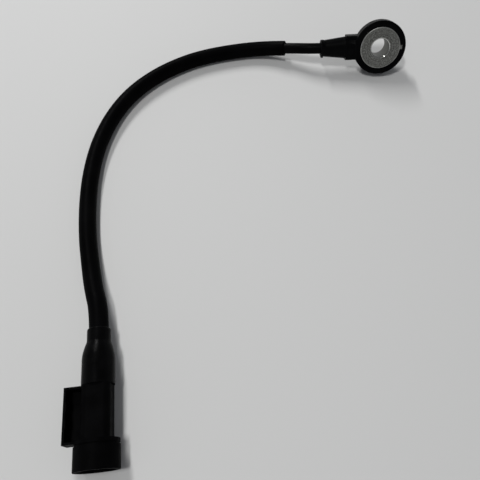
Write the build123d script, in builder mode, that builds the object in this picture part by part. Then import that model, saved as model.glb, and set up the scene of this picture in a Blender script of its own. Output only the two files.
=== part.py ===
"""Engine knock sensor: a ring head that a bolt clamps to the engine, a sleeved cable and a round plug."""
import os
from math import cos, pi, radians, sin, sqrt, tan

from build123d import *

os.makedirs("parts", exist_ok=True)

# How the head lies: its contact face leans back from lying flat, and its neck droops in that face
face_lean = 61.0
neck_droop = 2.6

# Metal bushing, with depths counted back from the contact face
bore_d = 8.4
bore_chamfer = 0.4
stem_wall = 1.4
contact_face_d = 18.8
flange_t = 2.2
flange_groove_w = 0.6
flange_groove_deep = 0.4
bushing_len = 10.2
lug_len = 1.1
lug_w = 1.9

# Sensing stack, from the flange back to the nut, with the width of each ring round the stem
stack_gap = 0.2
insulator_t = 0.3
insulator_ring_w = 2.5
contact_t = 0.3
contact_ring_w = 2.1
piezo_t = 1.4
piezo_ring_w = 2.1
mass_t = 2.4
mass_ring_w = 2.8
spring_t = 0.4
spring_rise = 0.3
spring_ring_w = 2.2
nut_t = 1.1
nut_ring_w = 2.0
nut_slot_w = 1.6
nut_slot_deep = 0.6
nut_slot_count = 4
tab_w = 1.6
tab_flat = 2.2
tab_clear = 0.4
core_pitch = 2.2
core_d = 1.2

# Moulded head housing
face_setback = 0.3
band_wall = 2.85
band_t = 5.0
boss_wall = 2.0
boss_draft = 0.4
housing_depth = 9.7
face_edge_r = 0.5
boss_edge_r = 0.8
rear_groove_w = 0.9
rear_groove_deep = 0.5
pin_mark_d = 1.6
pin_mark_deep = 0.6
pin_mark_pcd = 17.4
pin_mark_count = 3
neck_depth = 5.1
block_h = 11.2
block_t = 5.6
block_end = 15.9
block_corner_r = 0.8

# Strain relief on the neck, with lengths counted out from the middle of the head
relief_root = 12.5
relief_anchor_len = 1.3
relief_anchor_d = 7.0
relief_root_d = 6.4
relief_h = 10.1
relief_t = 8.4
relief_tip_h = 7.6
relief_tip_t = 7.2
relief_tip = 26.7
rim_end = 28.1
rim_h = 8.0
rim_t = 7.6
rim_edge_r = 0.3
rim_nub_d = 0.8
mouth_start = 22.0
mouth_d = 5.9

# Cable and its loose sleeve
cable_d = 5.0
sleeve_d = 7.0
sleeve_bore_d = 5.5
sleeve_start = 6.1
cable_fit = 0.05
straight_share = 0.45
neck_exit = 29.5
plug_entry = 6.4

# Plug, with lengths counted from the end where the sleeve goes in
plug_heading = 6.7
plug_x = -118.05
plug_y = -142.2
collar_d = 8.3
collar_len = 4.6
shoulder_end = 11.4
barrel_d = 11.3
boot_len = 19.8
boot_edge_r = 0.5
sleeve_seat = 3.0
cable_seat = 4.8
boot_mouth = 9.6
spigot_start = 12.0
spigot_d = 8.8
body_w = 9.8
body_corner_r = 2.4
body_end = 37.2
lip_t = 1.2
lip_d = 14.7
lip_groove_w = 0.6
lip_groove_d = 14.1
lip_notch_w = 1.0
shell_d = 15.0
shell_end = 46.4
shell_edge_r = 0.25
socket_floor = 40.0
socket_d = 12.2
key_w = 1.2
key_out = 0.8
key_angles = (35, 145, 270)
grommet_start = 12.6
grommet_end = 16.2
grommet_d = 7.4
grommet_fit = 0.05
pin_pitch = 4.6
pin_d = 1.5
pin_reach = 45.1
terminal_w = 2.4
terminal_start = 24.0
terminal_end = 36.2
crimp_start = 17.2
crimp_d = 2.0
channel_fit = 0.1
spread_start = 6.2
spread_end = 10.6
spread_bend_r = 3.0
lock_start = 29.8
lock_t = 2.4
lock_w = 7.8
lock_top = 1.35
lock_fit = 0.08

# Clip pocket on the side of the plug
wing_out = 10.75
wing_wall = 0.8
wing_start = 19.9
wing_end = 38.0
wing_top = 2.6
wing_bottom = 3.4
wing_floor_t = 1.1
ledge_len = 2.6
ledge_out = 0.25
ledge_t = 0.6
ledge_pitch = 5.4
ledge_count = 2
wing_nub_w = 0.8
wing_nub_out = 0.4
wing_nub_from_edge = 1.9

# Diameters, depths and lengths that follow from the sizes above
stem_d = bore_d + 2 * stem_wall
stack_bore_d = stem_d + 2 * stack_gap
insulator_d = stack_bore_d + 2 * insulator_ring_w
contact_d = stack_bore_d + 2 * contact_ring_w
piezo_d = stack_bore_d + 2 * piezo_ring_w
mass_d = stack_bore_d + 2 * mass_ring_w
spring_d = stack_bore_d + 2 * spring_ring_w
nut_d = stem_d + 2 * nut_ring_w
band_d = contact_face_d + 2 * band_wall
boss_d = mass_d + 2 * boss_wall
band_step = (band_d - boss_d) / 2
band_edge_r = min(face_edge_r, 0.4 * band_step)
band_root_r = min(boss_edge_r, 0.5 * band_step)
tab_bend = mass_d / 2 + tab_clear
tab_reach = tab_bend + tab_flat
lower_contact_front = flange_t + insulator_t
piezo_front = lower_contact_front + contact_t
upper_contact_front = piezo_front + piezo_t
upper_insulator_front = upper_contact_front + contact_t
mass_front = upper_insulator_front + insulator_t
spring_front = mass_front + mass_t
nut_front = spring_front + spring_t + spring_rise
nut_back = nut_front + nut_t
tab_back = upper_contact_front + contact_t
lead_depth = tab_back + core_d / 2
shell_start = body_end + lip_t + lip_groove_w

# Frames of the head and its neck; the origin is the middle of the bore
face_normal = Vector(0, -sin(radians(face_lean)), cos(radians(face_lean)))
face_up = Vector(0, cos(radians(face_lean)), sin(radians(face_lean)))
toward_lug = Vector(1, 0, 0) * cos(radians(neck_droop)) + face_up * sin(radians(neck_droop))
contact_point = face_normal * (bushing_len / 2)
head = Plane(origin=contact_point, x_dir=toward_lug, z_dir=face_normal)
head_section = Plane(origin=contact_point, x_dir=head.x_dir, z_dir=-head.y_dir)
head_axis = Axis(contact_point, head.z_dir)
neck_middle = head.from_local_coords((0, 0, -neck_depth))
neck = Plane(origin=neck_middle, x_dir=head.y_dir, z_dir=-head.x_dir)
neck_axis = Axis(neck_middle, neck.z_dir)

# The table touches the rounded back edge of the head's boss or band, and the plug's shell lies on it
boss_slope = boss_draft / (housing_depth - band_t)
boss_round_depth = housing_depth - boss_edge_r
boss_side_x = boss_d / 2 - boss_slope * (boss_round_depth - band_t)
boss_round_x = boss_side_x - boss_edge_r * sqrt(1 + boss_slope**2)
boss_low = boss_round_depth * face_normal.Z + boss_round_x * face_up.Z + boss_edge_r
band_round_depth = band_t - band_edge_r
band_low = band_round_depth * face_normal.Z + (band_d / 2 - band_edge_r) * face_up.Z + band_edge_r
table_z = contact_point.Z - max(boss_low, band_low)
plug_dir = Vector(sin(radians(plug_heading)), -cos(radians(plug_heading)), 0)
plug_start = Vector(plug_x, plug_y, table_z + shell_d / 2)
plug = Plane(origin=plug_start, x_dir=(-plug_dir.Y, plug_dir.X, 0), z_dir=plug_dir)
plug_section = Plane(origin=plug_start, x_dir=plug.x_dir, z_dir=-plug.y_dir)
plug_axis = Axis(plug_start, plug_dir)

# Cable route: out of the neck, down to the table, round the bend and up into the plug
neck_point = neck.from_local_coords((0, 0, relief_root))
neck_exit_point = neck.from_local_coords((0, 0, neck_exit))
plug_entry_point = plug.from_local_coords((0, 0, -plug_entry))
plug_point = plug.from_local_coords((0, 0, cable_seat))
route = [
    neck_point,
    neck_exit_point,
    Vector(-39.3, 1.7, -3.0),
    Vector(-49.9, 5.1, -5.8),
    Vector(-61.4, 5.9, -7.2),
    Vector(-73.0, 4.0, -7.4),
    Vector(-84.2, 1.0, -7.4),
    Vector(-95.0, -3.5, -7.4),
    Vector(-107.6, -11.7, -7.4),
    Vector(-119.3, -24.0, -7.4),
    Vector(-127.0, -39.0, -7.4),
    Vector(-131.2, -55.4, -7.4),
    Vector(-132.3, -72.0, -7.4),
    Vector(-131.3, -87.7, -7.4),
    Vector(-129.1, -102.5, -7.4),
    Vector(-126.1, -114.6, -6.9),
    Vector(-123.0, -125.3, -5.4),
    plug_entry_point,
    plug_point,
]


def corner_radii(points):
    """Return the largest arc for each corner that its two runs leave room for."""
    radii = []
    for before, corner, after in zip(points, points[1:], points[2:]):
        run_in = corner - before
        run_out = after - corner
        half_turn = radians(run_in.get_angle(run_out)) / 2
        shorter = min(run_in.length, run_out.length)
        radii.append(straight_share * shorter / tan(half_turn))
    return radii


def finish(piece, name):
    """Label a piece, write it to its own file and return its solid."""
    piece.part.label = name
    export_step(piece.part, f"parts/{name}.step")
    return piece.part


def washer(name, front, thickness, outer_d, inner_d):
    """Make a flat ring of the stack, with its front face at the given depth."""
    with BuildPart() as ring:
        with BuildSketch(head.offset(-front)):
            Circle(outer_d / 2)
            Circle(inner_d / 2, mode=Mode.SUBTRACT)
        extrude(amount=-thickness)
    return finish(ring, name)


# Bushing: contact flange with a locking groove and a key lug, and the stem that takes the bolt load
with BuildPart() as bushing:
    with BuildSketch(head_section) as bushing_profile:
        with BuildLine():
            Polyline(
                (bore_d / 2, 0),
                (contact_face_d / 2, 0),
                (contact_face_d / 2, -flange_t),
                (stem_d / 2, -flange_t),
                (stem_d / 2, -bushing_len),
                (bore_d / 2, -bushing_len),
                close=True,
            )
        make_face()
        bore_corners = bushing_profile.vertices().group_by(Axis.X)[0]
        chamfer(bore_corners, length=bore_chamfer)
        with Locations((contact_face_d / 2, -flange_t / 2)):
            Rectangle(2 * flange_groove_deep, flange_groove_w, mode=Mode.SUBTRACT)
    revolve(axis=head_axis)
    with BuildSketch(head.offset(-face_setback)):
        with Locations((contact_face_d / 2 + lug_len / 2 - flange_groove_deep / 2, 0)):
            Rectangle(lug_len + flange_groove_deep, lug_w)
    extrude(amount=-(flange_t / 2 - flange_groove_w / 2 - face_setback))
bushing_solid = finish(bushing, "bushing")

# Insulators, piezo ring and seismic mass
washer("lower_insulator", flange_t, insulator_t, insulator_d, stack_bore_d)
washer("piezo_ring", piezo_front, piezo_t, piezo_d, stack_bore_d)
washer("upper_insulator", upper_insulator_front, insulator_t, insulator_d, stack_bore_d)
washer("seismic_mass", mass_front, mass_t, mass_d, stack_bore_d)

# Contact rings: each has a tab that runs out to its wire
with BuildPart() as lower_contact:
    with BuildSketch(head.offset(-lower_contact_front)):
        Circle(contact_d / 2)
        with Locations((-tab_bend / 2, -core_pitch / 2)):
            Rectangle(tab_bend, tab_w)
        Circle(stack_bore_d / 2, mode=Mode.SUBTRACT)
    extrude(amount=-contact_t)
    with BuildSketch(head_section.offset(core_pitch / 2)):
        with BuildLine():
            Polyline(
                (-tab_bend, -lower_contact_front),
                (-tab_bend - contact_t, -lower_contact_front),
                (-tab_bend - contact_t, -tab_back + contact_t),
                (-tab_reach, -tab_back + contact_t),
                (-tab_reach, -tab_back),
                (-tab_bend, -tab_back),
                close=True,
            )
        make_face()
    extrude(amount=tab_w / 2, both=True)
lower_contact_solid = finish(lower_contact, "lower_contact")

with BuildPart() as upper_contact:
    with BuildSketch(head.offset(-upper_contact_front)):
        Circle(contact_d / 2)
        with Locations((-tab_reach / 2, core_pitch / 2)):
            Rectangle(tab_reach, tab_w)
        Circle(stack_bore_d / 2, mode=Mode.SUBTRACT)
    extrude(amount=-contact_t)
upper_contact_solid = finish(upper_contact, "upper_contact")

# Disc spring: a shallow cone, with its outer edge on the mass and its inner edge under the nut
with BuildPart() as disc_spring:
    with BuildSketch(head_section):
        with BuildLine():
            Polyline(
                (spring_d / 2, -spring_front),
                (spring_d / 2, -spring_front - spring_t),
                (stack_bore_d / 2, -nut_front),
                (stack_bore_d / 2, -nut_front + spring_t),
                close=True,
            )
        make_face()
    revolve(axis=head_axis)
finish(disc_spring, "disc_spring")

# Lock nut: a ring nut with spanner slots
with BuildPart() as lock_nut:
    with BuildSketch(head.offset(-nut_front)):
        Circle(nut_d / 2)
        Circle(stem_d / 2, mode=Mode.SUBTRACT)
    extrude(amount=-nut_t)
    with BuildSketch(head.offset(-nut_back)):
        with PolarLocations(nut_d / 2, nut_slot_count):
            Rectangle(nut_d / 4, nut_slot_w)
    extrude(amount=nut_slot_deep, mode=Mode.SUBTRACT)
finish(lock_nut, "lock_nut")


def head_lead(name, side):
    """Make a wire core between the cable's end and the back of a contact tab."""
    with BuildPart() as lead:
        with BuildSketch(neck.offset(tab_bend + core_d / 2)):
            with Locations((side * core_pitch / 2, lead_depth - neck_depth)):
                Circle(core_d / 2)
        extrude(amount=relief_root - tab_bend - core_d / 2)
    return finish(lead, name)


lower_lead = head_lead("lower_contact_lead", -1)
upper_lead = head_lead("upper_contact_lead", 1)

# Strain relief: an oval taper with a rim at its tip, anchored in the neck block
with BuildPart() as strain_relief:
    with BuildSketch(neck.offset(block_end)):
        Ellipse(relief_h / 2, relief_t / 2)
    with BuildSketch(neck.offset(relief_tip)):
        Ellipse(relief_tip_h / 2, relief_tip_t / 2)
    loft()
    with BuildSketch(neck.offset(relief_tip)):
        Ellipse(rim_h / 2, rim_t / 2)
    extrude(amount=rim_end - relief_tip)
    fillet(strain_relief.faces().sort_by(neck_axis)[-1].edges(), radius=rim_edge_r)
    with BuildSketch(neck.offset(relief_tip)):
        with Locations((-rim_h / 2, 0)):
            Circle(rim_nub_d / 2)
    extrude(amount=rim_end - relief_tip - rim_edge_r)
    with BuildSketch(neck.offset(relief_root)):
        Circle(relief_root_d / 2)
    extrude(amount=block_end - relief_root)
    with BuildSketch(neck.offset(relief_root)):
        Circle(relief_anchor_d / 2)
    extrude(amount=relief_anchor_len)
    with BuildSketch(neck.offset(relief_root)):
        Circle(cable_d / 2 + cable_fit)
    extrude(amount=mouth_start - relief_root, mode=Mode.SUBTRACT)
    with BuildSketch(neck.offset(mouth_start)):
        Circle(cable_d / 2 + cable_fit)
    with BuildSketch(neck.offset(rim_end)):
        Circle(mouth_d / 2)
    loft(mode=Mode.SUBTRACT)
finish(strain_relief, "strain_relief")

# Head housing: moulded round the bushing and stack, with the neck block
with BuildPart() as housing:
    with BuildSketch(head_section) as housing_profile:
        with BuildLine():
            Polyline(
                (stem_d / 2, -face_setback),
                (band_d / 2, -face_setback),
                (band_d / 2, -band_t),
                (boss_d / 2, -band_t),
                (boss_d / 2 - boss_draft, -housing_depth),
                (stem_d / 2, -housing_depth),
                close=True,
            )
        make_face()
        fillet(housing_profile.vertices().sort_by(Axis.X)[-2:], radius=band_edge_r)
        fillet(housing_profile.vertices().sort_by(Axis.X)[3], radius=band_root_r)
        fillet(housing_profile.vertices().sort_by(Axis.X)[2], radius=boss_edge_r)
    revolve(axis=head_axis)
    with BuildSketch(neck.offset(boss_d / 2 - block_corner_r)):
        RectangleRounded(block_h, block_t, block_corner_r)
        Ellipse(relief_h / 2, relief_t / 2)
    extrude(amount=block_end - boss_d / 2 + block_corner_r)
    for pocket_front, pocket_back, pocket_d in (
        (flange_t, mass_front, insulator_d),
        (mass_front, spring_front, mass_d),
        (spring_front, nut_front, spring_d),
        (nut_front, nut_back, nut_d),
    ):
        with BuildSketch(head.offset(-pocket_front)):
            Circle(pocket_d / 2)
            Circle(stem_d / 2, mode=Mode.SUBTRACT)
        extrude(amount=-(pocket_back - pocket_front), mode=Mode.SUBTRACT)
    add(bushing_solid, mode=Mode.SUBTRACT)
    add(lower_contact_solid, mode=Mode.SUBTRACT)
    add(upper_contact_solid, mode=Mode.SUBTRACT)
    add(lower_lead, mode=Mode.SUBTRACT)
    add(upper_lead, mode=Mode.SUBTRACT)
    with BuildSketch(neck.offset(relief_root)):
        Circle(relief_anchor_d / 2)
    extrude(amount=relief_anchor_len, mode=Mode.SUBTRACT)
    with BuildSketch(neck.offset(relief_root)):
        Circle(relief_root_d / 2)
    extrude(amount=block_end - relief_root, mode=Mode.SUBTRACT)
    with BuildSketch(head.offset(-housing_depth)):
        Circle(stem_d / 2 + rear_groove_w)
        Circle(stem_d / 2, mode=Mode.SUBTRACT)
    extrude(amount=rear_groove_deep, mode=Mode.SUBTRACT)
    with BuildSketch(head.offset(-housing_depth)):
        with PolarLocations(pin_mark_pcd / 2, pin_mark_count):
            Circle(pin_mark_d / 2)
    extrude(amount=pin_mark_deep, mode=Mode.SUBTRACT)
finish(housing, "housing")

# Cable and sleeve share the route and its arcs; the sleeve starts halfway down the third run
route_radii = corner_radii(route)
print("route radii", [round(radius, 1) for radius in route_radii])
sleeve_first = route[2] + (route[3] - route[2]).normalized() * sleeve_start
sleeve_last = plug.from_local_coords((0, 0, sleeve_seat))
sleeve_route = [sleeve_first] + route[3:-1] + [sleeve_last]

with BuildPart() as cable:
    with BuildLine() as cable_path:
        FilletPolyline(*route, radius=route_radii)
    with BuildSketch(Plane(origin=route[0], z_dir=neck.z_dir)):
        Circle(cable_d / 2)
    sweep(path=cable_path.wires()[0])
finish(cable, "cable")
cable_section = pi * cable_d**2 / 4
print("cable length", round(cable_path.wires()[0].length, 1))
print("cable volume over its section", round(cable.part.volume / cable_section, 1))

with BuildPart() as cable_sleeve:
    with BuildLine() as sleeve_path:
        FilletPolyline(*sleeve_route, radius=route_radii[2:])
    with BuildSketch(Plane(origin=sleeve_first, z_dir=(route[3] - route[2]))):
        Circle(sleeve_d / 2)
        Circle(sleeve_bore_d / 2, mode=Mode.SUBTRACT)
    sweep(path=sleeve_path.wires()[0])
finish(cable_sleeve, "cable_sleeve")
print("sleeve length", round(sleeve_path.wires()[0].length, 1))


def plug_core(name, side):
    """Make a wire core that spreads from the cable's end to its crimp."""
    near_x = side * core_pitch / 2
    far_x = side * pin_pitch / 2
    core_points = [
        plug.from_local_coords((near_x, 0, cable_seat)),
        plug.from_local_coords((near_x, 0, spread_start)),
        plug.from_local_coords((far_x, 0, spread_end)),
        plug.from_local_coords((far_x, 0, crimp_start)),
    ]
    with BuildPart() as core:
        with BuildLine() as core_path:
            FilletPolyline(*core_points, radius=spread_bend_r)
        with BuildSketch(Plane(origin=core_points[0], z_dir=plug_dir)):
            Circle(core_d / 2)
        sweep(path=core_path.wires()[0])
    return finish(core, name)


def terminal(name, side):
    """Make a pin terminal: crimp barrel, square body and round pin."""
    pin_x = side * pin_pitch / 2
    with BuildPart() as pin:
        with BuildSketch(plug.offset(crimp_start)):
            with Locations((pin_x, 0)):
                Circle(crimp_d / 2)
        extrude(amount=terminal_start - crimp_start)
        with BuildSketch(plug.offset(terminal_start)):
            with Locations((pin_x, 0)):
                Rectangle(terminal_w, terminal_w)
        extrude(amount=terminal_end - terminal_start)
        with BuildSketch(plug.offset(terminal_end)):
            with Locations((pin_x, 0)):
                Circle(pin_d / 2)
        extrude(amount=pin_reach - terminal_end)
        fillet(pin.faces().sort_by(plug_axis)[-1].edges(), radius=pin_d / 4)
    return finish(pin, name)


plug_core("ground_core", -1)
plug_core("signal_core", 1)
terminal("ground_terminal", -1)
terminal("signal_terminal", 1)

# Grommet that seals both wires at the back of the plug body
with BuildPart() as wire_grommet:
    with BuildSketch(plug.offset(grommet_start)):
        Circle(grommet_d / 2)
        with GridLocations(pin_pitch, 0, 2, 1):
            Circle(core_d / 2 + cable_fit, mode=Mode.SUBTRACT)
    extrude(amount=grommet_end - grommet_start)
finish(wire_grommet, "wire_grommet")

# Boot: collar, rounded shoulder and barrel that covers the body's spigot
with BuildPart() as plug_boot:
    with BuildSketch(plug_section) as boot_profile:
        with BuildLine():
            Polyline((0, 0), (collar_d / 2, 0), (collar_d / 2, collar_len))
            Spline(
                (collar_d / 2, collar_len),
                (barrel_d / 2, shoulder_end),
                tangents=[(0.35, 1), (0, 1)],
            )
            Polyline((barrel_d / 2, shoulder_end), (barrel_d / 2, boot_len), (0, boot_len), (0, 0))
        make_face()
    revolve(axis=plug_axis)
    fillet(plug_boot.faces().sort_by(plug_axis)[0].edges(), radius=boot_edge_r)
    with BuildSketch(plug):
        Circle(sleeve_d / 2 + cable_fit)
    extrude(amount=sleeve_seat, mode=Mode.SUBTRACT)
    with BuildSketch(plug.offset(sleeve_seat)):
        Circle(cable_d / 2 + cable_fit)
    extrude(amount=boot_mouth - sleeve_seat, mode=Mode.SUBTRACT)
    with BuildSketch(plug.offset(cable_seat)):
        Circle(cable_d / 2 + cable_fit)
    with BuildSketch(plug.offset(spigot_start)):
        Circle(spigot_d / 2)
    loft(mode=Mode.SUBTRACT)
    with BuildSketch(plug.offset(spigot_start)):
        Circle(spigot_d / 2)
    extrude(amount=boot_len - spigot_start, mode=Mode.SUBTRACT)
finish(plug_boot, "plug_boot")

# Terminal lock: a plate pushed in from below, behind the shoulders of both terminals
with BuildPart() as terminal_lock:
    with BuildSketch(plug.offset(lock_start)):
        with Locations((0, -(body_w / 2 + lock_top) / 2)):
            Rectangle(lock_w, body_w / 2 - lock_top)
    extrude(amount=lock_t)
finish(terminal_lock, "terminal_lock")

# Plug body: spigot, square barrel, lip, mating shell with its socket, and the clip pocket
with BuildPart() as plug_body:
    with BuildSketch(plug.offset(spigot_start)):
        Circle(spigot_d / 2)
    extrude(amount=boot_len - spigot_start)
    with BuildSketch(plug.offset(boot_len)):
        RectangleRounded(body_w, body_w, body_corner_r)
    extrude(amount=body_end - boot_len)
    with BuildSketch(plug.offset(body_end)):
        Circle(lip_d / 2)
        with Locations((lip_d / 2, 0)):
            Rectangle(lip_d - lip_groove_d, lip_notch_w, mode=Mode.SUBTRACT)
    extrude(amount=lip_t)
    with BuildSketch(plug.offset(body_end + lip_t)):
        Circle(lip_groove_d / 2)
    extrude(amount=lip_groove_w)
    with BuildSketch(plug.offset(shell_start)):
        Circle(shell_d / 2)
    extrude(amount=shell_end - shell_start)
    fillet(plug_body.faces().sort_by(plug_axis)[-1].edges(), radius=shell_edge_r)
    wing_w = wing_out - body_w / 2
    wing_h = wing_top + wing_bottom
    wing_mid_y = (wing_top - wing_bottom) / 2
    with BuildSketch(plug.offset(wing_start)):
        with Locations((-(wing_out - wing_w / 2) + body_corner_r / 2, wing_mid_y)):
            Rectangle(wing_w + body_corner_r, wing_h)
    extrude(amount=wing_end - wing_start)
    pocket_w = wing_w - wing_wall
    pocket_h = wing_h - wing_floor_t
    with BuildSketch(plug.offset(wing_start + wing_wall)):
        with Locations((-(body_w / 2 + pocket_w / 2), wing_top - pocket_h / 2)):
            Rectangle(pocket_w, pocket_h)
    extrude(amount=wing_end - wing_start - 2 * wing_wall, mode=Mode.SUBTRACT)
    wing_middle = (wing_start + wing_end) / 2
    for ledge_index in range(ledge_count):
        ledge_shift = (ledge_index - (ledge_count - 1) / 2) * ledge_pitch
        with BuildSketch(plug.offset(wing_middle + ledge_shift - ledge_len / 2)):
            with Locations((-(wing_out - wing_wall - ledge_out / 2), wing_top - ledge_t / 2)):
                Rectangle(ledge_out, ledge_t)
        extrude(amount=ledge_len)
    with BuildSketch(plug.offset(wing_start - wing_nub_out)):
        with Locations((-(wing_out - wing_nub_from_edge), 0)):
            Rectangle(wing_nub_w, wing_nub_w)
    extrude(amount=wing_nub_out)
    with BuildSketch(plug.offset(socket_floor)):
        Circle(socket_d / 2)
    extrude(amount=shell_end - socket_floor, mode=Mode.SUBTRACT)
    for key_angle in key_angles:
        with BuildSketch(plug.offset(socket_floor)):
            with Locations(Rotation(0, 0, key_angle)):
                with Locations((socket_d / 2, 0)):
                    Rectangle(2 * key_out, key_w)
            Circle(socket_d / 2 + key_out / 2, mode=Mode.INTERSECT)
        extrude(amount=shell_end - socket_floor - key_w)
    with BuildSketch(plug.offset(spigot_start)):
        Circle(grommet_d / 2 + grommet_fit)
    extrude(amount=grommet_end - spigot_start, mode=Mode.SUBTRACT)
    with BuildSketch(plug.offset(grommet_end)):
        with GridLocations(pin_pitch, 0, 2, 1):
            Rectangle(terminal_w + 2 * channel_fit, terminal_w + 2 * channel_fit)
    extrude(amount=terminal_end - grommet_end, mode=Mode.SUBTRACT)
    with BuildSketch(plug.offset(terminal_end)):
        with GridLocations(pin_pitch, 0, 2, 1):
            Circle(pin_d / 2)
    extrude(amount=socket_floor - terminal_end, mode=Mode.SUBTRACT)
    with BuildSketch(plug.offset(lock_start - lock_fit)):
        with Locations((0, -(body_w / 2 + lock_top) / 2)):
            Rectangle(lock_w + 2 * lock_fit, body_w / 2 - lock_top)
    extrude(amount=lock_t + 2 * lock_fit, mode=Mode.SUBTRACT)
finish(plug_body, "plug_body")
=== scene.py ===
from math import cos, pi, radians, sin

import bmesh
import bpy
from mathutils import Matrix, Vector
from mathutils.kdtree import KDTree


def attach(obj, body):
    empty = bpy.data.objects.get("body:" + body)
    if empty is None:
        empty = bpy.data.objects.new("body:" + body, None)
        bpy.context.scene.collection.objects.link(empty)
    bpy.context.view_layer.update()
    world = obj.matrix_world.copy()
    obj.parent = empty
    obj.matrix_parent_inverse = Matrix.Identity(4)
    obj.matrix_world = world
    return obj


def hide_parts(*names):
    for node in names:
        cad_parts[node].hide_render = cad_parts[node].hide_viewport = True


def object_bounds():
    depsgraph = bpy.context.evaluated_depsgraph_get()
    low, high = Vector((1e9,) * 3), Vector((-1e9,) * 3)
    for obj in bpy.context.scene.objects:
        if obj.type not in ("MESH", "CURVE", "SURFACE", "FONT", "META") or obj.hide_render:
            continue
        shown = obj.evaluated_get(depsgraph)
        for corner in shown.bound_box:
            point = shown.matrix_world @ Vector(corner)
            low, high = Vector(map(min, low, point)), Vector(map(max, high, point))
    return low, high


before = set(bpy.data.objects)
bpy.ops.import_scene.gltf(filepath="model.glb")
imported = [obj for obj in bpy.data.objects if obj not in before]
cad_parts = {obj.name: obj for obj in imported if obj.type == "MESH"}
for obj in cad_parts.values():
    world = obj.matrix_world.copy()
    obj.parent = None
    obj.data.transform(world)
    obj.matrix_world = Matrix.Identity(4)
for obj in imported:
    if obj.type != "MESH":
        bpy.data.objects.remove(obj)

bl_info = {
    "name": "Knock Sensor Dresser",
    "version": (1, 0, 0),
    "blender": (4, 5, 0),
    "location": "3D View > Sidebar > Knock Sensor",
    "description": "Finishes a packed knock sensor: bushing, housing, sleeved cable and plug",
    "category": "Object",
}

# One millimetre in the scene's metres, the body that every piece rides on, and the CAD model's box
MM = 0.001
BODY = "root"
CAD_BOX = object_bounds()

# Sizes of the head in millimetres, with depths counted back from the contact face
FACE_LEAN = 61.0
NECK_DROOP = 2.6
BUSHING_LEN = 10.2
BORE_R = 4.2
BORE_CHAMFER = 0.4
STEM_R = 5.6
FACE_R = 9.4
FLANGE_T = 2.2
GROOVE_FRONT = 0.8
GROOVE_W = 0.6
GROOVE_DEEP = 0.4
FACE_SETBACK = 0.3
LUG_LEN = 1.1
LUG_W = 1.9
FACE_RIM = 0.2
NECK_DEPTH = 5.1

# Sizes of the neck, counted out from the middle of the head
RELIEF_ROOT = 12.5
NECK_EXIT = 29.5

# Heading of the plug in degrees, its place, and its sizes from the end where the sleeve goes in
PLUG_HEADING = 6.7
PLUG_X = -118.05
PLUG_Y = -142.2
SHELL_R = 7.5
PLUG_ENTRY = 6.4
CABLE_SEAT = 4.8
SLEEVE_SEAT = 3.0

# Where the loose sleeve starts along the row's x axis
SLEEVE_X = -44.8

# Cord sizes in metres, and how far the bore at the sleeve's free end is hollow
CABLE_D = 0.005
SLEEVE_D = 0.007
SLEEVE_BORE_D = 0.0055
SLEEVE_HOLLOW = 0.008

# Where the camera stood over the table, in millimetres, and how far it tilted from straight down
CAMERA_X = -67.47
CAMERA_Y = -196.45
CAMERA_UP = 178.0
CAMERA_TILT = 28.0
CAMERA_LENS = 36.75
SENSOR_WIDTH = 36.0

# Faces to a turn, steps of the bushing's edge and face, and how near points are to be welded
BUSHING_SEGMENTS = 144
BORE_EDGE_STEPS = 6
GROOVE_RINGS = 96
CABLE_SEGMENTS = 40
SLEEVE_SEGMENTS = 56
WELD = 1e-6
GROOVE_WELD = 1e-7

# The black plastics are mottled up to this many times their own colour
MOTTLE = 2.4

# The table's radius, and painted light on its far part: where it starts and ends to get lighter,
# and by how much
TABLE_R = 1.4
FAR_START = 0.35
FAR_FULL = 1.1
FAR_PAINTED_LIGHT = 1.45

# The middle of what the lamps light, along the row's y axis in metres, and the room's colour
LIT_Y = -0.09
ROOM_TINT = (0.93, 0.95, 1.0, 1.0)

TABLE_Z = CAD_BOX[0].z


def head_place():
    """Return the matrix from the head's own frame: x to the lug, z out of the contact face."""
    lean = radians(FACE_LEAN)
    droop = radians(NECK_DROOP)
    normal = Vector((0, -sin(lean), cos(lean)))
    face_up = Vector((0, cos(lean), sin(lean)))
    to_lug = Vector((1, 0, 0)) * cos(droop) + face_up * sin(droop)
    side = normal.cross(to_lug)
    turn = Matrix((to_lug, side, normal)).transposed().to_4x4()
    return Matrix.Translation(normal * BUSHING_LEN / 2 * MM) @ turn


def neck_place():
    """Return the matrix from the neck's own frame: z out along the neck, x up the contact face."""
    head = head_place()
    turn = Matrix(((0, 0, -1), (1, 0, 0), (0, -1, 0))).to_4x4()
    return head @ Matrix.Translation((0, 0, -NECK_DEPTH * MM)) @ turn


def plug_place():
    """Return the matrix from the plug's own frame: z towards the socket's mouth, y up."""
    heading = radians(PLUG_HEADING)
    along = Vector((sin(heading), -cos(heading), 0))
    across = Vector((cos(heading), sin(heading), 0))
    turn = Matrix((across, Vector((0, 0, 1)), along)).transposed().to_4x4()
    start = Vector((PLUG_X * MM, PLUG_Y * MM, TABLE_Z + SHELL_R * MM))
    return Matrix.Translation(start) @ turn


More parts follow.
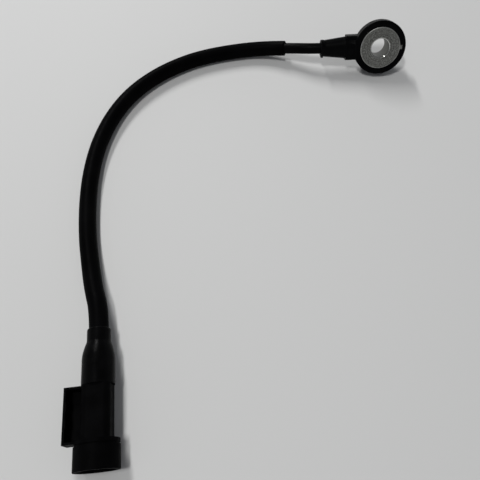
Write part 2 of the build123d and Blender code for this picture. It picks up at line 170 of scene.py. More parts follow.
def cable_route():
    """Return the cable's route: neck, down to the table, round the bend, up into the plug."""
    neck = neck_place()
    plug = plug_place()
    return [
        neck @ Vector((0, 0, RELIEF_ROOT * MM)),
        neck @ Vector((0, 0, NECK_EXIT * MM)),
        Vector((-0.0393, 0.0017, -0.0030)),
        Vector((-0.0499, 0.0051, -0.0058)),
        Vector((-0.0614, 0.0059, -0.0072)),
        Vector((-0.0730, 0.0040, -0.0074)),
        Vector((-0.0842, 0.0010, -0.0074)),
        Vector((-0.0950, -0.0035, -0.0074)),
        Vector((-0.1076, -0.0117, -0.0074)),
        Vector((-0.1193, -0.0240, -0.0074)),
        Vector((-0.1270, -0.0390, -0.0074)),
        Vector((-0.1312, -0.0554, -0.0074)),
        Vector((-0.1323, -0.0720, -0.0074)),
        Vector((-0.1313, -0.0877, -0.0074)),
        Vector((-0.1291, -0.1025, -0.0074)),
        Vector((-0.1261, -0.1146, -0.0069)),
        Vector((-0.1230, -0.1253, -0.0054)),
        plug @ Vector((0, 0, -PLUG_ENTRY * MM)),
        plug @ Vector((0, 0, CABLE_SEAT * MM)),
    ]


def smooth_line(points, steps=24):
    """Return the points of a smooth spline that has the route's points as its control points."""
    curve = bpy.data.curves.new("route", "CURVE")
    curve.dimensions = "3D"
    curve.resolution_u = steps
    spline = curve.splines.new("NURBS")
    spline.points.add(len(points) - 1)
    for control, place in zip(spline.points, points):
        control.co = (*place, 1)
    spline.order_u = 3
    spline.use_endpoint_u = True
    holder = bpy.data.objects.new("route", curve)
    bpy.context.scene.collection.objects.link(holder)
    line = bpy.data.meshes.new_from_object(holder)
    places = [vertex.co.copy() for vertex in line.vertices]
    bpy.data.objects.remove(holder)
    bpy.data.curves.remove(curve)
    bpy.data.meshes.remove(line)
    return places


def sleeve_part(line):
    """Return the part of the line that the sleeve covers, up to its seat in the plug."""
    back = plug_place().inverted()
    start = next(index for index, point in enumerate(line) if point.x < SLEEVE_X * MM)
    end = max(index for index, point in enumerate(line) if (back @ point).z < SLEEVE_SEAT * MM)
    return line[start:end + 1]


def length_round(piece, line, diameter):
    """Give a tube a UV map: its length in diameters as u, the height round its girth as v."""
    mesh = piece.data
    layer = mesh.uv_layers.new(name="length_round")
    runs = [0.0]
    for before, after in zip(line, line[1:]):
        runs.append(runs[-1] + (after - before).length)
    tree = KDTree(len(line))
    for index, point in enumerate(line):
        tree.insert(point, index)
    tree.balance()
    for loop in mesh.loops:
        place = mesh.vertices[loop.vertex_index].co
        nearest = tree.find(place)[1]
        before = line[max(nearest - 1, 0)]
        after = line[min(nearest + 1, len(line) - 1)]
        ahead = (after - before).normalized()
        up = (Vector((0, 0, 1)) - ahead * ahead.z).normalized()
        across = ahead.cross(up)
        out = place - line[nearest]
        turn = Vector((out.dot(across), out.dot(up))).normalized()
        layer.data[loop.index].uv = (runs[nearest] / diameter, turn.y)


def add_object(name, mesh):
    """Put a mesh in the scene as an object at the origin."""
    piece = bpy.data.objects.new(name, mesh)
    bpy.context.scene.collection.objects.link(piece)
    return piece


def shade(mesh, crease=35.0):
    """Shade a mesh smooth, with sharp edges where its faces turn by more than the crease."""
    mesh.polygons.foreach_set("use_smooth", [True] * len(mesh.polygons))
    mesh.set_sharp_from_angle(angle=radians(crease))


def settle(piece, material, node):
    """Give a finished piece its material in its only slot, put it on the body, and hide the node it
    stands for.
    """
    piece.data.materials.clear()
    piece.data.materials.append(material)
    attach(piece, BODY)
    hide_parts(node)


def join_rings(form, rings):
    """Put a band of faces between each ring of vertices and the next."""
    for low, high in zip(rings, rings[1:]):
        for step, corner in enumerate(low):
            after = (step + 1) % len(low)
            form.faces.new((corner, low[after], high[after], high[step]))


def lathe(form, outline, segments):
    """Turn a closed outline of (radius, height) in millimetres round the z axis."""
    rings = []
    for radius, height in outline:
        ring = []
        for step in range(segments):
            turn = 2 * pi * step / segments
            corner = (radius * cos(turn) * MM, radius * sin(turn) * MM, height * MM)
            ring.append(form.verts.new(corner))
        rings.append(ring)
    join_rings(form, rings + rings[:1])


def tube(name, line, outer_r, inner_r, segments, lip=0.0002):
    """Sweep a tube along a line; an inner radius over zero gives its first end a short bore."""
    mesh = bpy.data.meshes.new(name)
    form = bmesh.new()
    frames = []
    side = Vector((0, 0, 1))
    for index, point in enumerate(line):
        before = line[max(index - 1, 0)]
        after = line[min(index + 1, len(line) - 1)]
        ahead = (after - before).normalized()
        side = (side - ahead * side.dot(ahead)).normalized()
        frames.append((point, side, ahead.cross(side), ahead))

    def ring(at, radius, slide=0.0):
        """Add a ring of vertices round one point of the line."""
        middle, across, up, ahead = frames[at]
        verts = []
        for step in range(segments):
            turn = 2 * pi * step / segments
            out = across * cos(turn) + up * sin(turn)
            verts.append(form.verts.new(middle + ahead * slide + out * radius))
        return verts

    rings = []
    if inner_r:
        bevel = lip * 0.3
        hollow = [at for at, point in enumerate(line) if (point - line[0]).length < SLEEVE_HOLLOW]
        rings += [ring(at, inner_r) for at in reversed(hollow[1:])]
        rings.append(ring(0, inner_r, lip))
        rings.append(ring(0, inner_r + bevel, bevel))
        rings.append(ring(0, inner_r + lip))
        rings.append(ring(0, outer_r - lip))
        rings.append(ring(0, outer_r - bevel, bevel))
    rings.append(ring(0, outer_r, lip if inner_r else 0.0))
    rings += [ring(at, outer_r) for at in range(1, len(line))]
    join_rings(form, rings)
    form.faces.new(list(reversed(rings[0])))
    form.faces.new(rings[-1])
    bmesh.ops.recalc_face_normals(form, faces=form.faces)
    form.to_mesh(mesh)
    form.free()
    shade(mesh)
    return add_object(name, mesh)


def smooth_copy(node, name, crease=24.0):
    """Copy a node's mesh, join its loose triangles and shade its curved faces smooth."""
    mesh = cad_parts[node].data.copy()
    mesh.name = name
    form = bmesh.new()
    form.from_mesh(mesh)
    bmesh.ops.remove_doubles(form, verts=form.verts, dist=WELD)
    form.to_mesh(mesh)
    form.free()
    shade(mesh, crease)
    piece = add_object(name, mesh)
    weigh = piece.modifiers.new("even_shading", "WEIGHTED_NORMAL")
    weigh.keep_sharp = True
    weigh.weight = 80
    return piece


class Shader:
    """A material's node tree, with short calls for the nodes that the finishes here use."""

    def __init__(self, name):
        self.material = bpy.data.materials.new(name)
        self.material.use_nodes = True
        self.nodes = self.material.node_tree.nodes
        self.links = self.material.node_tree.links
        self.surface = self.nodes["Principled BSDF"]

    def node(self, kind, **settings):
        """Add a node, set its properties, and set or link its inputs by name."""
        made = self.nodes.new(kind)
        for key, value in settings.pop("set", {}).items():
            setattr(made, key, value)
        for key, value in settings.items():
            self.feed(made, key.replace("_", " "), value)
        return made

    def feed(self, target, socket, value):
        """Link an output to a socket, or set the socket's own value."""
        place = int(socket) if socket.isdigit() else socket
        if isinstance(value, bpy.types.NodeSocket):
            self.links.new(value, target.inputs[place])
        else:
            target.inputs[place].default_value = value

    def finish(self, **sockets):
        """Set or link the surface shader's sockets and return the material."""
        for key, value in sockets.items():
            self.feed(self.surface, key.replace("_", " "), value)
        return self.material


def object_place(shader, turn=None):
    """Return Object coordinates, turned into a frame of the piece's own where one is given."""
    coordinates = shader.node("ShaderNodeTexCoord").outputs["Object"]
    if turn is None:
        return coordinates
    back = turn.inverted()
    mapping = shader.node(
        "ShaderNodeMapping",
        Vector=coordinates,
        Location=back.to_translation(),
        Rotation=back.to_euler(),
    )
    return mapping.outputs["Vector"]


def spread(shader, value, low, high):
    """Map a noise factor, most of which lies between 0.3 and 0.7, to a range."""
    limits = {"From_Min": 0.3, "From_Max": 0.7, "To_Min": low, "To_Max": high}
    return shader.node("ShaderNodeMapRange", Value=value, **limits).outputs["Result"]


def uneven(shader, factor, roughness, less=0.06, more=0.08):
    """Let the roughness wander a little round its usual value."""
    return spread(shader, factor, roughness - less, roughness + more)


def noise(shader, vector, scale, detail=3.0, roughness=0.5):
    """Return a noise factor of the given scale."""
    settings = {"Scale": scale, "Detail": detail, "Roughness": roughness}
    return shader.node("ShaderNodeTexNoise", Vector=vector, **settings).outputs["Fac"]


def bump(shader, height, distance, strength=1.0, under=None):
    """Return a bumped normal; under is a normal that it adds to."""
    made = shader.node("ShaderNodeBump", Height=height, Distance=distance, Strength=strength)
    if under is not None:
        shader.feed(made, "Normal", under)
    return made.outputs["Normal"]


def mixed_colour(shader, share, first, second):
    """Mix two colours, each a list or an output, by a zero to one share."""
    tint = shader.node("ShaderNodeMix", set={"data_type": "RGBA"})
    shader.feed(tint, "0", share)
    for place, colour in (("6", first), ("7", second)):
        linked = isinstance(colour, bpy.types.NodeSocket)
        shader.feed(tint, place, colour if linked else (*colour[:3], 1.0))
    return tint.outputs[2]


def times(colour, factor):
    """Return a colour with each channel multiplied."""
    return [channel * factor for channel in colour[:3]]


def moulded_finish(name, colour, roughness, grain_scale, gloss):
    """Black moulding: spark-eroded grain, faint flow clouds and an uneven dull sheen."""
    shader = Shader(name)
    place = object_place(shader)
    clouds = spread(shader, noise(shader, place, scale=160.0, detail=4.0), 0.0, 1.0)
    waves = bump(shader, noise(shader, place, scale=300.0), distance=0.00006, strength=0.4)
    grain = noise(shader, place, grain_scale, detail=2.0)
    return shader.finish(
        Base_Color=mixed_colour(shader, clouds, colour, times(colour, MOTTLE)),
        Roughness=uneven(shader, noise(shader, place, scale=420.0), roughness),
        Specular_IOR_Level=gloss,
        Normal=bump(shader, grain, distance=0.00003, strength=0.6, under=waves),
    )


def sleeve_finish(name, colour, roughness, streaks, gloss):
    """Extruded tube: fine streaks along its own UV map, soft blotches and a dull sheen."""
    shader = Shader(name)
    along = shader.node("ShaderNodeUVMap", set={"uv_map": "length_round"}).outputs["UV"]
    stretch = shader.node("ShaderNodeMapping", Vector=along, Scale=(3.0, streaks, 1.0))
    lines = noise(shader, stretch.outputs["Vector"], scale=1.0)
    place = object_place(shader)
    blotch = spread(shader, noise(shader, place, scale=90.0), 0.0, 1.0)
    grain = noise(shader, place, scale=5200.0, detail=2.0)
    soft = bump(shader, grain, distance=0.00002, strength=0.5)
    return shader.finish(
        Base_Color=mixed_colour(shader, blotch, colour, times(colour, MOTTLE)),
        Roughness=uneven(shader, lines, roughness),
        Specular_IOR_Level=gloss,
        Normal=bump(shader, lines, distance=0.00003, strength=0.5, under=soft),
    )


def ramp(shader, value, low, high, start=0.0, end=1.0):
    """Go smoothly from the start level at the low value to the end level at the high one."""
    mapped = shader.node(
        "ShaderNodeMapRange",
        set={"interpolation_type": "SMOOTHSTEP"},
        Value=value,
        From_Min=low,
        From_Max=high,
        To_Min=start,
        To_Max=end,
    )
    return mapped.outputs["Result"]


def ring_zone(shader, radius, start, full, fade, end):
    """Return a share that rises between two radii in millimetres and falls between two more."""
    rising = ramp(shader, radius, start * MM, full * MM)
    falling = ramp(shader, radius, fade * MM, end * MM, 1.0, 0.0)
    return maths(shader, "MULTIPLY", rising, falling)


def maths(shader, operation, first, second):
    """Return the result of one sum on values or outputs."""
    made = shader.node("ShaderNodeMath", set={"operation": operation})
    shader.feed(made, "0", first)
    shader.feed(made, "1", second)
    return made.outputs["Value"]


def turned_finish(name, look, place_matrix):
    """Turned steel: rings round the bore, mottled zinc with pits, bright worn rim and bore edge,
    and painted shade on the bore's wall.
    """
    shader = Shader(name)
    place = object_place(shader, place_matrix)
    parts = shader.node("ShaderNodeSeparateXYZ", Vector=place)
    flat = shader.node("ShaderNodeCombineXYZ", X=parts.outputs["X"], Y=parts.outputs["Y"])
    length = shader.node("ShaderNodeVectorMath", set={"operation": "LENGTH"})
    shader.feed(length, "0", flat.outputs["Vector"])
    radius = length.outputs["Value"]

    turns = maths(shader, "MULTIPLY", radius, 1.0 / look.groove_pitch)
    by_radius = {"noise_dimensions": "1D"}
    grooves = shader.node("ShaderNodeTexNoise", set=by_radius, W=turns, Scale=1.0, Detail=3.0)
    rings = grooves.outputs["Fac"]
    ring_share = maths(shader, "MULTIPLY", spread(shader, rings, 0.0, 1.0), 0.85)
    blotches = noise(shader, place, scale=520.0, detail=4.0, roughness=0.6)
    blotch = spread(shader, blotches, 0.0, 1.0)
    zinc = mixed_colour(shader, blotch, times(look.colour, 1.6), times(look.colour, 0.8))
    lined = mixed_colour(shader, ring_share, zinc, times(look.colour, 0.35))
    speckle = noise(shader, place, scale=1500.0, detail=4.0, roughness=0.7)
    flecks = maths(shader, "MULTIPLY", ramp(shader, speckle, 0.42, 0.7), 0.5)
    flecked = mixed_colour(shader, flecks, lined, look.edge_colour)

    past_bore = ramp(shader, radius, (BORE_R + 0.02) * MM, (BORE_R + 0.1) * MM)
    edge = ring_zone(
        shader,
        radius,
        start=BORE_R + 0.02,
        full=BORE_R + 0.1,
        fade=BORE_R + 0.4,
        end=BORE_R + 0.55,
    )
    rim = ring_zone(
        shader,
        radius,
        start=FACE_R - 0.4,
        full=FACE_R - 0.15,
        fade=FACE_R + 0.05,
        end=FACE_R + 0.25,
    )
    worn = maths(shader, "MAXIMUM", maths(shader, "MULTIPLY", rim, 0.8), edge)
    # Painted shade: inside the bore the steel is painted at half its colour.
    steel_with_painted_bore_shade = mixed_colour(shader, past_bore, times(look.colour, 0.5), flecked)
    dull = maths(shader, "ADD", spread(shader, rings, -0.06, 0.06), look.roughness)
    pits = bump(shader, speckle, distance=0.00004, strength=0.7)
    return shader.finish(
        Base_Color=mixed_colour(shader, worn, steel_with_painted_bore_shade, look.edge_colour),
        Metallic=1.0,
        Roughness=maths(shader, "SUBTRACT", dull, maths(shader, "MULTIPLY", edge, 0.2)),
        Normal=bump(shader, rings, distance=0.00002, strength=0.8, under=pits),
    )


def metal_finish(name, colour, roughness):
    """Stamped or machined metal with fine grain."""
    shader = Shader(name)
    place = object_place(shader)
    grain = noise(shader, place, scale=1800.0, detail=4.0)
    return shader.finish(
        Base_Color=(*colour, 1.0),
        Metallic=1.0,
        Roughness=uneven(shader, grain, roughness, less=0.05),
        Normal=bump(shader, grain, distance=0.00001, strength=0.5),
    )


def plain_finish(name, colour, roughness):
    """Even plastic, film or ceramic with a slight grain."""
    shader = Shader(name)
    place = object_place(shader)
    grain = noise(shader, place, scale=1500.0)
    return shader.finish(
        Base_Color=(*colour, 1.0),
        Roughness=uneven(shader, grain, roughness, less=0.05, more=0.05),
        Normal=bump(shader, grain, distance=0.00001, strength=0.4),
    )


def grooved_face_tree():
    """Build the node tree for a turned face: fine concentric grooves between two radii."""
    tree = bpy.data.node_groups.new("Turned Face", "GeometryNodeTree")
    face = tree.interface
    face.new_socket("Geometry", in_out="OUTPUT", socket_type="NodeSocketGeometry")
    for label in ("Inner Radius", "Outer Radius", "Groove Pitch", "Groove Depth"):
        face.new_socket(label, in_out="INPUT", socket_type="NodeSocketFloat")
    for label in ("Rings", "Segments"):
        face.new_socket(label, in_out="INPUT", socket_type="NodeSocketInt")
    face.new_socket("Material", in_out="INPUT", socket_type="NodeSocketMaterial")
    nodes = tree.nodes
    links = tree.links
    given = nodes.new("NodeGroupInput").outputs
    result = nodes.new("NodeGroupOutput")

    def sum_of(operation, first, second=None):
        """Return the result of one sum on values or outputs."""
        made = nodes.new("ShaderNodeMath")
        made.operation = operation
        for socket, value in zip(made.inputs, (first, second)):
            if isinstance(value, bpy.types.NodeSocket):
                links.new(value, socket)
            elif value is not None:
                socket.default_value = value
        return made.outputs[0]

    grid = nodes.new("GeometryNodeMeshGrid")
    grid.inputs["Size X"].default_value = 1.0
    grid.inputs["Size Y"].default_value = 1.0
    links.new(given["Rings"], grid.inputs["Vertices X"])
    links.new(sum_of("ADD", given["Segments"], 1.0), grid.inputs["Vertices Y"])
    position = nodes.new("GeometryNodeInputPosition")
    parts = nodes.new("ShaderNodeSeparateXYZ")
    links.new(position.outputs[0], parts.inputs[0])
    share = sum_of("ADD", parts.outputs["X"], 0.5)
    width = sum_of("SUBTRACT", given["Outer Radius"], given["Inner Radius"])
    radius = sum_of("ADD", given["Inner Radius"], sum_of("MULTIPLY", share, width))
    turn = sum_of("MULTIPLY", sum_of("ADD", parts.outputs["Y"], 0.5), 2 * pi)
    phase = sum_of("DIVIDE", sum_of("MULTIPLY", radius, 2 * pi), given["Groove Pitch"])
    wave = sum_of("COSINE", phase)
    fade = sum_of("SINE", sum_of("MULTIPLY", share, pi))
    half_depth = sum_of("MULTIPLY", given["Groove Depth"], 0.5)
    dip = sum_of("MULTIPLY", sum_of("SUBTRACT", wave, 1.0), half_depth)
    place = nodes.new("ShaderNodeCombineXYZ")
    links.new(sum_of("MULTIPLY", radius, sum_of("COSINE", turn)), place.inputs["X"])
    links.new(sum_of("MULTIPLY", radius, sum_of("SINE", turn)), place.inputs["Y"])
    links.new(sum_of("MULTIPLY", dip, fade), place.inputs["Z"])
    move = nodes.new("GeometryNodeSetPosition")
    links.new(grid.outputs["Mesh"], move.inputs["Geometry"])
    links.new(place.outputs[0], move.inputs["Position"])
    weld = nodes.new("GeometryNodeMergeByDistance")
    weld.inputs["Distance"].default_value = GROOVE_WELD
    links.new(move.outputs[0], weld.inputs["Geometry"])
    realize = nodes.new("GeometryNodeRealizeInstances")
    links.new(weld.outputs[0], realize.inputs[0])
    paint = nodes.new("GeometryNodeSetMaterial")
    links.new(realize.outputs[0], paint.inputs["Geometry"])
    links.new(given["Material"], paint.inputs["Material"])
    links.new(paint.outputs[0], result.inputs[0])
    return tree


def grown(name, tree, values):
    """Run a node tree with named inputs and return its result as a plain mesh."""
    holder = add_object(name, bpy.data.meshes.new(name))
    modifier = holder.modifiers.new(name, "NODES")
    modifier.node_group = tree
    for item in tree.interface.items_tree:
        if item.in_out == "INPUT":
            modifier[item.identifier] = values[item.name]
    shown = holder.evaluated_get(bpy.context.evaluated_depsgraph_get())
    mesh = bpy.data.meshes.new_from_object(shown)
    bpy.data.objects.remove(holder)
    return mesh


class BushingLook(bpy.types.PropertyGroup):
    """Colours and grooves of the turned steel"""

    colour: bpy.props.FloatVectorProperty(
        name="Steel", description="Colour of the turned steel", subtype="COLOR",
        default=(0.165, 0.165, 0.147),
    )
    edge_colour: bpy.props.FloatVectorProperty(
        name="Worn Edge", description="Colour of the worn edges and flecks", subtype="COLOR",
        default=(0.5, 0.5, 0.47),
    )
    roughness: bpy.props.FloatProperty(
        name="Roughness", description="Dullness of the turned steel",
        default=0.4, min=0.05, max=1.0,
    )
    groove_pitch: bpy.props.FloatProperty(
        name="Groove Pitch", description="Distance between turning grooves",
        unit="LENGTH", default=0.0008,
    )
    groove_depth: bpy.props.FloatProperty(
        name="Groove Depth", description="Depth of the turning grooves",
        unit="LENGTH", default=0.000016,
    )


class MouldingLook(bpy.types.PropertyGroup):
    """Colours and dullness of the moulded pieces"""

    hard_colour: bpy.props.FloatVectorProperty(
        name="Hard Plastic", description="Colour of the housing and plug body",
        subtype="COLOR", default=(0.001, 0.001, 0.0011),
    )
    hard_roughness: bpy.props.FloatProperty(
        name="Hard Roughness", description="Dullness of the housing",
        default=0.3, min=0.05, max=1.0,
    )
    plug_roughness: bpy.props.FloatProperty(
        name="Plug Roughness", description="Dullness of the plug body",
        default=0.5, min=0.05, max=1.0,
    )
    soft_colour: bpy.props.FloatVectorProperty(
        name="Soft Moulding", description="Colour of the strain relief and boot",
        subtype="COLOR", default=(0.0013, 0.0013, 0.0014),
    )
    soft_roughness: bpy.props.FloatProperty(
        name="Soft Roughness", description="Dullness of the soft moulding",
        default=0.3, min=0.05, max=1.0,
    )


class CableLook(bpy.types.PropertyGroup):
    """Colours and dullness of the cable and its sleeve"""

    sleeve_colour: bpy.props.FloatVectorProperty(
        name="Sleeve", description="Colour of the loose sleeve", subtype="COLOR",
        default=(0.0009, 0.0009, 0.001),
    )
    cable_colour: bpy.props.FloatVectorProperty(
        name="Jacket", description="Colour of the cable jacket", subtype="COLOR",
        default=(0.0013, 0.0013, 0.0014),
    )
    sleeve_roughness: bpy.props.FloatProperty(
        name="Sleeve Roughness", description="Dullness of the sleeve",
        default=0.45, min=0.05, max=1.0,
    )
    cable_roughness: bpy.props.FloatProperty(
        name="Jacket Roughness", description="Dullness of the cable jacket",
        default=0.34, min=0.05, max=1.0,
    )


class StageLook(bpy.types.PropertyGroup):
    """Colour of the table, and the levels of the lamps and the room"""

    floor_colour: bpy.props.FloatVectorProperty(
        name="Floor", description="Colour of the pale table",
        subtype="COLOR", default=(0.62, 0.62, 0.61),
    )
    top_power: bpy.props.FloatProperty(
        name="Top Lamp", description="Power of the lamp overhead", unit="POWER", default=3.0
    )
    back_power: bpy.props.FloatProperty(
        name="Back Lamp", description="Power of the lamp behind the sensor",
        unit="POWER", default=10.4,
    )
    ceiling_level: bpy.props.FloatProperty(
        name="Ceiling", description="Strength of the room light from above",
        default=0.18, min=0.0, max=2.0,
    )
    wall_level: bpy.props.FloatProperty(
        name="Walls", description="Strength of the room light from the sides",
        default=0.8, min=0.0, max=2.0,
    )


class SENSOR_OT_bushing(bpy.types.Operator):
    """Make the turned steel bushing with its grooved contact face, bore, flange and key lug"""

    bl_idname = "sensor.bushing"
    bl_label = "Bushing"

    def execute(self, context):
        look = context.scene.bushing_look
        steel = turned_finish("turned_bushing", look, head_place())
        form = bmesh.new()
        lathe(form, self.outline(), BUSHING_SEGMENTS)
        self.groove_face(form, look, steel)
        self.add_lug(form)
        bmesh.ops.recalc_face_normals(form, faces=form.faces)
        bmesh.ops.transform(form, matrix=head_place(), verts=form.verts)
        mesh = bpy.data.meshes.new("bushing_turned")
        form.to_mesh(mesh)
        form.free()
        shade(mesh, 30.0)
        settle(add_object("bushing_turned", mesh), steel, "bushing")
        return {"FINISHED"}

    def outline(self):
        """Return the bushing's half section, from the rounded bore edge to the contact face."""
        quarter = [step * pi / 2 / BORE_EDGE_STEPS for step in range(BORE_EDGE_STEPS + 1)]
        points = [
            (BORE_R + BORE_CHAMFER * (1 - sin(turn)), BORE_CHAMFER * (cos(turn) - 1))
            for turn in quarter
        ]
        return points + [
            (BORE_R, -BUSHING_LEN + BORE_CHAMFER),
            (BORE_R + BORE_CHAMFER, -BUSHING_LEN),
            (STEM_R - FACE_RIM, -BUSHING_LEN),
            (STEM_R, -BUSHING_LEN + FACE_RIM),
            (STEM_R, -FLANGE_T),
            (FACE_R, -FLANGE_T),
            (FACE_R, -GROOVE_FRONT - GROOVE_W),
            (FACE_R - GROOVE_DEEP, -GROOVE_FRONT - GROOVE_W),
            (FACE_R - GROOVE_DEEP, -GROOVE_FRONT),
            (FACE_R, -GROOVE_FRONT),
            (FACE_R, -FACE_RIM),
            (FACE_R - FACE_RIM, 0),
        ]

    def groove_face(self, form, look, steel):
        """Put the grooved ring in place of the flat contact face and weld it in."""
        level = {vert for vert in form.verts if abs(vert.co.z) < GROOVE_WELD}
        flat = [face for face in form.faces if level.issuperset(face.verts)]
        bmesh.ops.delete(form, geom=flat, context="FACES")
        sizes = {
            "Inner Radius": (BORE_R + BORE_CHAMFER) * MM,
            "Outer Radius": (FACE_R - FACE_RIM) * MM,
            "Groove Pitch": look.groove_pitch,
            "Groove Depth": look.groove_depth,
            "Rings": GROOVE_RINGS,
            "Segments": BUSHING_SEGMENTS,
            "Material": steel,
        }
        form.from_mesh(grown("contact_grooves", grooved_face_tree(), sizes))
        bmesh.ops.remove_doubles(form, verts=form.verts, dist=2 * WELD)

    def add_lug(self, form):
        """Add the small key lug on the flange's rim, a little behind the contact face."""
        lug = bmesh.ops.create_cube(form, size=1.0)["verts"]
        thick = (GROOVE_FRONT - FACE_SETBACK) * MM
        size = Matrix.Diagonal(((LUG_LEN + GROOVE_DEEP) * MM, LUG_W * MM, thick, 1.0))
        out = (FACE_R + (LUG_LEN - GROOVE_DEEP) / 2) * MM
        middle = Matrix.Translation((out, 0, -FACE_SETBACK * MM - thick / 2))
        bmesh.ops.transform(form, matrix=middle @ size, verts=lug)


class SENSOR_OT_housing(bpy.types.Operator):
    """Make the moulded ring housing with its neck block"""

    bl_idname = "sensor.housing"
    bl_label = "Housing"

    def execute(self, context):
        look = context.scene.moulding_look
        finish = moulded_finish(
            "hard_moulding", look.hard_colour, look.hard_roughness, grain_scale=7000.0, gloss=0.025
        )
        settle(smooth_copy("housing", "housing_moulded"), finish, "housing")
        return {"FINISHED"}


class SENSOR_OT_relief(bpy.types.Operator):
    """Make the soft mouldings: the oval strain relief on the neck and the boot on the plug"""

    bl_idname = "sensor.relief"
    bl_label = "Strain Relief and Boot"

    def execute(self, context):
        look = context.scene.moulding_look
        finish = moulded_finish(
            "soft_moulding", look.soft_colour, look.soft_roughness, grain_scale=5200.0, gloss=0.025
        )
        for node in ("strain_relief", "plug_boot"):
            settle(smooth_copy(node, node + "_moulded"), finish, node)
        return {"FINISHED"}


class SENSOR_OT_cable(bpy.types.Operator):
    """Lay the cable and its loose sleeve along their route"""

    bl_idname = "sensor.cable"
    bl_label = "Cable and Sleeve"

    def execute(self, context):
        look = context.scene.cable_look
        line = smooth_line(cable_route())
        cable = tube("cable_jacket", line, CABLE_D / 2, 0.0, CABLE_SEGMENTS)
        length_round(cable, line, CABLE_D)
        jacket = sleeve_finish(
            "cable_jacket", look.cable_colour, look.cable_roughness, streaks=60.0, gloss=0.016
        )
        settle(cable, jacket, "cable")
        sleeve_line = sleeve_part(line)
        sleeve = tube("sleeve_tube", sleeve_line, SLEEVE_D / 2, SLEEVE_BORE_D / 2, SLEEVE_SEGMENTS)
        length_round(sleeve, sleeve_line, SLEEVE_D)
        finish = sleeve_finish(
            "loose_sleeve", look.sleeve_colour, look.sleeve_roughness, streaks=40.0, gloss=0.01
        )
        settle(sleeve, finish, "cable_sleeve")
        return {"FINISHED"}


class SENSOR_OT_plug(bpy.types.Operator):
    """Make the plug's hard body with its clip pocket, lip and socket"""

    bl_idname = "sensor.plug"
    bl_label = "Plug Body"

    def execute(self, context):
        look = context.scene.moulding_look
        finish = moulded_finish(
            "plug_moulding", look.hard_colour, look.plug_roughness, grain_scale=7000.0, gloss=0.01
        )
        settle(smooth_copy("plug_body", "plug_body_moulded"), finish, "plug_body")
        return {"FINISHED"}


class SENSOR_OT_inner(bpy.types.Operator):
    """Give the sealed pieces and the terminals their finishes"""

    bl_idname = "sensor.inner"
    bl_label = "Inner Pieces"

    def execute(self, context):
        steel = metal_finish("machined_rings", (0.45, 0.45, 0.46), 0.35)
        brass = metal_finish("stamped_contacts", (0.66, 0.47, 0.2), 0.3)
        tin = metal_finish("tinned_pins", (0.72, 0.71, 0.68), 0.25)
        finishes = {
            "seismic_mass": steel,
            "disc_spring": steel,
            "lock_nut": steel,
            "lower_contact": brass,
            "upper_contact": brass,
            "signal_terminal": tin,
            "ground_terminal": tin,
            "piezo_ring": plain_finish("fired_ceramic", (0.6, 0.56, 0.48), 0.5),
            "lower_insulator": plain_finish("amber_film", (0.6, 0.33, 0.08), 0.4),
            "wire_grommet": plain_finish("wire_seal", (0.55, 0.17, 0.06), 0.6),
            "signal_core": plain_finish("white_core", (0.72, 0.72, 0.69), 0.5),
            "ground_core": plain_finish("black_core", (0.02, 0.02, 0.02), 0.5),
            "terminal_lock": plain_finish("grey_lock", (0.03, 0.03, 0.033), 0.45),
        }
        finishes["upper_insulator"] = finishes["lower_insulator"]
        finishes["lower_contact_lead"] = finishes["signal_core"]
        finishes["upper_contact_lead"] = finishes["ground_core"]
        for node, finish in finishes.items():
            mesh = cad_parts[node].data
            mesh.materials.clear()
            mesh.materials.append(finish)
        return {"FINISHED"}


class SENSOR_OT_declare(bpy.types.Operator):
    bl_idname = "sensor.declare"
    bl_label = "Declare Cords"

    def execute(self, context):
        line = smooth_line(cable_route())
        plug_pieces = ["plug_boot_moulded", "plug_body_moulded", "terminal_lock", "wire_grommet"]
        plug_pieces += ["signal_terminal", "ground_terminal", "signal_core", "ground_core"]
        return {"FINISHED"}


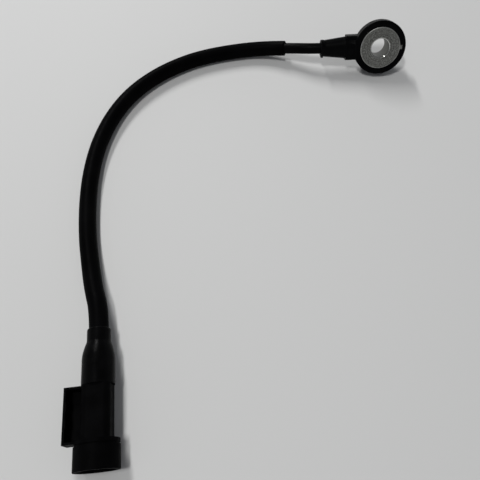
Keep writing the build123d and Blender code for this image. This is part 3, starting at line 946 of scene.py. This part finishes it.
class SENSOR_OT_stage(bpy.types.Operator):
    """Set the pale table, the two soft lamps, the room light and the camera"""

    bl_idname = "sensor.stage"
    bl_label = "Stage"

    def execute(self, context):
        look = context.scene.stage_look
        self.make_floor(look)
        self.make_lamps(look)
        self.make_room(look)
        self.make_camera()
        context.scene.view_settings.view_transform = "Standard"
        return {"FINISHED"}

    def make_floor(self, look):
        """Lay the round table, with painted light that makes it a little lighter far from the
        sensor.
        """
        mesh = bpy.data.meshes.new("table")
        form = bmesh.new()
        middle = Vector((CAMERA_X * MM, CAMERA_Y * MM, TABLE_Z))
        bmesh.ops.create_circle(form, cap_ends=True, segments=128, radius=TABLE_R)
        bmesh.ops.translate(form, verts=form.verts, vec=middle)
        form.to_mesh(mesh)
        form.free()
        shader = Shader("pale_table")
        place = object_place(shader)
        reach = shader.node("ShaderNodeVectorMath", set={"operation": "DISTANCE"})
        shader.feed(reach, "0", place)
        shader.feed(reach, "1", middle)
        # Painted light: far from the sensor the table's colour is lifted where the lamps' light
        # falls off.
        far = ramp(shader, reach.outputs["Value"], FAR_START, FAR_FULL)
        near_colour = look.floor_colour
        finish = shader.finish(
            Base_Color=mixed_colour(shader, far, near_colour, times(near_colour, FAR_PAINTED_LIGHT)),
            Roughness=0.75,
            Normal=bump(shader, noise(shader, place, scale=900.0), distance=0.00003, strength=0.3),
        )
        floor = add_object("table", mesh)
        floor.data.materials.append(finish)

    def make_lamps(self, look):
        """Hang the lamp overhead and the larger one behind the sensor."""
        overhead = Vector((-0.21, -0.16, 0.9))
        behind = Vector((-0.4, 0.93, 0.9))
        self.hang_lamp("top_lamp", overhead, look.top_power, width=0.07, length=0.2)
        self.hang_lamp("back_lamp", behind, look.back_power, width=0.1, length=0.55)

    def hang_lamp(self, name, offset, power, width, length):
        """Hang a rectangular lamp, offset from the middle of what it lights and facing it."""
        data = bpy.data.lights.new(name, "AREA")
        data.shape = "RECTANGLE"
        data.size = width
        data.size_y = length
        data.energy = power
        lamp = bpy.data.objects.new(name, data)
        lamp.location = Vector((CAMERA_X * MM, LIT_Y, TABLE_Z)) + offset
        down = -offset.normalized()
        along = (Vector((0, 1, 0)) - down * down.y).normalized()
        lamp.rotation_euler = Matrix((along.cross(-down), along, -down)).transposed().to_euler()
        bpy.context.scene.collection.objects.link(lamp)

    def make_room(self, look):
        """Light the room all round: brighter from the sides than from above."""
        world = bpy.data.worlds.new("room")
        world.use_nodes = True
        nodes = world.node_tree.nodes
        links = world.node_tree.links
        direction = nodes.new("ShaderNodeTexCoord")
        height = nodes.new("ShaderNodeSeparateXYZ")
        links.new(direction.outputs["Generated"], height.inputs[0])
        level = nodes.new("ShaderNodeMapRange")
        level.interpolation_type = "SMOOTHSTEP"
        links.new(height.outputs["Z"], level.inputs["Value"])
        limits = {
            "From Min": 0.05,
            "From Max": 0.4,
            "To Min": look.wall_level,
            "To Max": look.ceiling_level,
        }
        for socket, value in limits.items():
            level.inputs[socket].default_value = value
        background = nodes["Background"]
        background.inputs["Color"].default_value = ROOM_TINT
        links.new(level.outputs["Result"], background.inputs["Strength"])
        bpy.context.scene.world = world

    def make_camera(self):
        """Set the camera where the photograph was taken from."""
        data = bpy.data.cameras.new("camera")
        data.sensor_fit = "HORIZONTAL"
        data.sensor_width = SENSOR_WIDTH
        data.lens = CAMERA_LENS
        data.clip_start = 0.01
        camera = bpy.data.objects.new("camera", data)
        camera.location = (CAMERA_X * MM, CAMERA_Y * MM, TABLE_Z + CAMERA_UP * MM)
        camera.rotation_euler = (radians(CAMERA_TILT), 0, 0)
        bpy.context.scene.collection.objects.link(camera)
        bpy.context.scene.camera = camera


STEPS = (
    SENSOR_OT_stage,
    SENSOR_OT_cable,
    SENSOR_OT_bushing,
    SENSOR_OT_housing,
    SENSOR_OT_relief,
    SENSOR_OT_plug,
    SENSOR_OT_inner,
    SENSOR_OT_declare,
)
LOOKS = {
    "bushing_look": BushingLook,
    "moulding_look": MouldingLook,
    "cable_look": CableLook,
    "stage_look": StageLook,
}


class SENSOR_PT_panel(bpy.types.Panel):
    """List the sensor's looks and steps"""

    bl_idname = "SENSOR_PT_panel"
    bl_label = "Knock Sensor"
    bl_space_type = "VIEW_3D"
    bl_region_type = "UI"
    bl_category = "Knock Sensor"

    def draw(self, context):
        for name, look_class in LOOKS.items():
            look = getattr(context.scene, name)
            box = self.layout.box()
            for field in look_class.__annotations__:
                box.prop(look, field)
        for step in STEPS:
            self.layout.operator(step.bl_idname)


def register():
    """Register the looks, steps and panel."""
    for look_class in LOOKS.values():
        bpy.utils.register_class(look_class)
    for step in STEPS:
        bpy.utils.register_class(step)
    bpy.utils.register_class(SENSOR_PT_panel)
    for name, look_class in LOOKS.items():
        setattr(bpy.types.Scene, name, bpy.props.PointerProperty(type=look_class))


def unregister():
    """Remove the looks, steps and panel."""
    for name in LOOKS:
        delattr(bpy.types.Scene, name)
    bpy.utils.unregister_class(SENSOR_PT_panel)
    for step in reversed(STEPS):
        bpy.utils.unregister_class(step)
    for look_class in reversed(list(LOOKS.values())):
        bpy.utils.unregister_class(look_class)


def main():
    """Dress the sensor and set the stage."""
    register()
    for step in STEPS:
        group, action = step.bl_idname.split(".")
        getattr(getattr(bpy.ops, group), action)()


if __name__ == "__main__":
    main()
